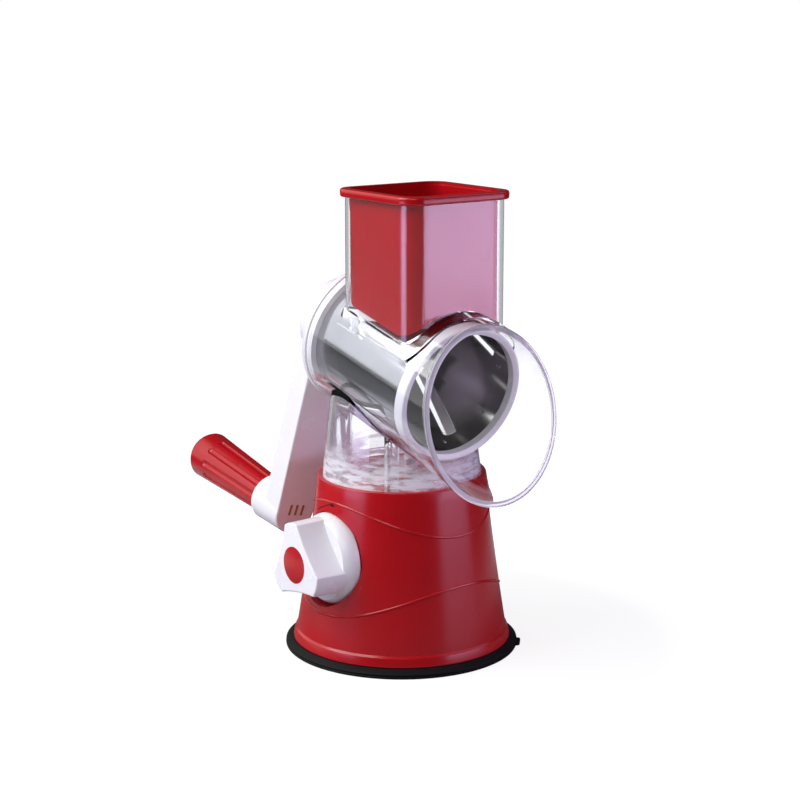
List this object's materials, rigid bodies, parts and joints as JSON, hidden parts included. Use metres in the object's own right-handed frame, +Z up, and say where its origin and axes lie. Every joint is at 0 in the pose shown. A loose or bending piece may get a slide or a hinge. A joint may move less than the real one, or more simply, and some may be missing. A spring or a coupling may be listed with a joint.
{
  "type": "rotary cabbage shredder",
  "caption": "Hand-cranked rotary drum shredder with a clear housing, a square hopper with a red pusher, a steel slicing drum and a red suction base",
  "frame": {"origin": "The centre of the ring-shaped face under the rubber foot, on the table's surface.", "axes": "+Z up. The knob's side is -X. The drum's axis lies in the YZ plane: shreds come out at -Y, a little downwards, and the crank is at +Y."},
  "size_m": [0.1329, 0.2601, 0.2476],
  "materials": {
    "red_plastic": "injection moulded ABS, glossy",
    "white_plastic": "injection moulded ABS, satin gloss",
    "clear_plastic": "injection moulded clear polystyrene, polished",
    "stainless_steel": "deep drawn stainless sheet, polished",
    "zinc_steel": "zinc plated steel",
    "rubber": "moulded black rubber, matt",
    "tan_plastic": "inlaid bars, matt"
  },
  "bodies": {
    "housing": {"base_shell": "red_plastic", "suction_foot": "rubber", "base_plate": "white_plastic", "base_screws": "zinc_steel", "cam_bracket": "zinc_steel", "bracket_screws": "zinc_steel", "shaft_bush": "white_plastic", "drum_tube": "clear_plastic", "feed_hopper": "clear_plastic", "housing_neck": "clear_plastic", "housing_screws": "zinc_steel", "rear_bush": "white_plastic"},
    "pusher": {"food_pusher": "red_plastic"},
    "crank": {"drum_shell": "stainless_steel", "drum_front_ring": "white_plastic", "drum_rear_hub": "white_plastic", "drive_shaft": "stainless_steel", "crank_arm": "white_plastic", "crank_cover": "white_plastic", "crank_hub_cap": "white_plastic", "crank_screw": "zinc_steel", "crank_marks": "tan_plastic", "grip_pin": "zinc_steel"},
    "grip": {"handle_grip": "red_plastic", "grip_end_cap": "red_plastic"},
    "knob": {"suction_knob": "white_plastic", "knob_cap": "red_plastic", "knob_screw": "zinc_steel", "cam_shaft": "zinc_steel", "shaft_clip": "zinc_steel", "lift_cam": "white_plastic"},
    "lifter": {"lift_yoke": "white_plastic", "lift_rod": "zinc_steel", "lift_plate": "zinc_steel", "lift_nut": "zinc_steel", "suction_membrane": "rubber", "return_spring": "zinc_steel"}
  },
  "joints": [
    {"name": "pusher_slide", "type": "slide", "parent": "housing", "child": "pusher", "axis": [0, 0, 1], "range_m": [0, 0.06]},
    {"name": "crank_turn", "type": "hinge", "parent": "housing", "child": "crank", "pos_m": [0, 0, 0.1582], "axis": [0, -0.9711, -0.2385], "continuous": true},
    {"name": "grip_spin", "type": "hinge", "parent": "crank", "child": "grip", "pos_m": [-0.02134, 0.09901, 0.0628], "axis": [-0.0132, 0.9857, 0.1679], "continuous": true},
    {"name": "knob_turn", "type": "hinge", "parent": "housing", "child": "knob", "pos_m": [-0.0434, 0, 0.0546], "axis": [1, 0, 0], "range_deg": [0, 90]},
    {"name": "suction_lift", "type": "slide", "parent": "housing", "child": "lifter", "axis": [0, 0, 1], "range_m": [0, 0.004], "deforming": ["return_spring"]}
  ],
  "couplings": [
    {"joint": "suction_lift", "follows": "knob_turn", "m_per_rad": 0.002546}
  ]
}
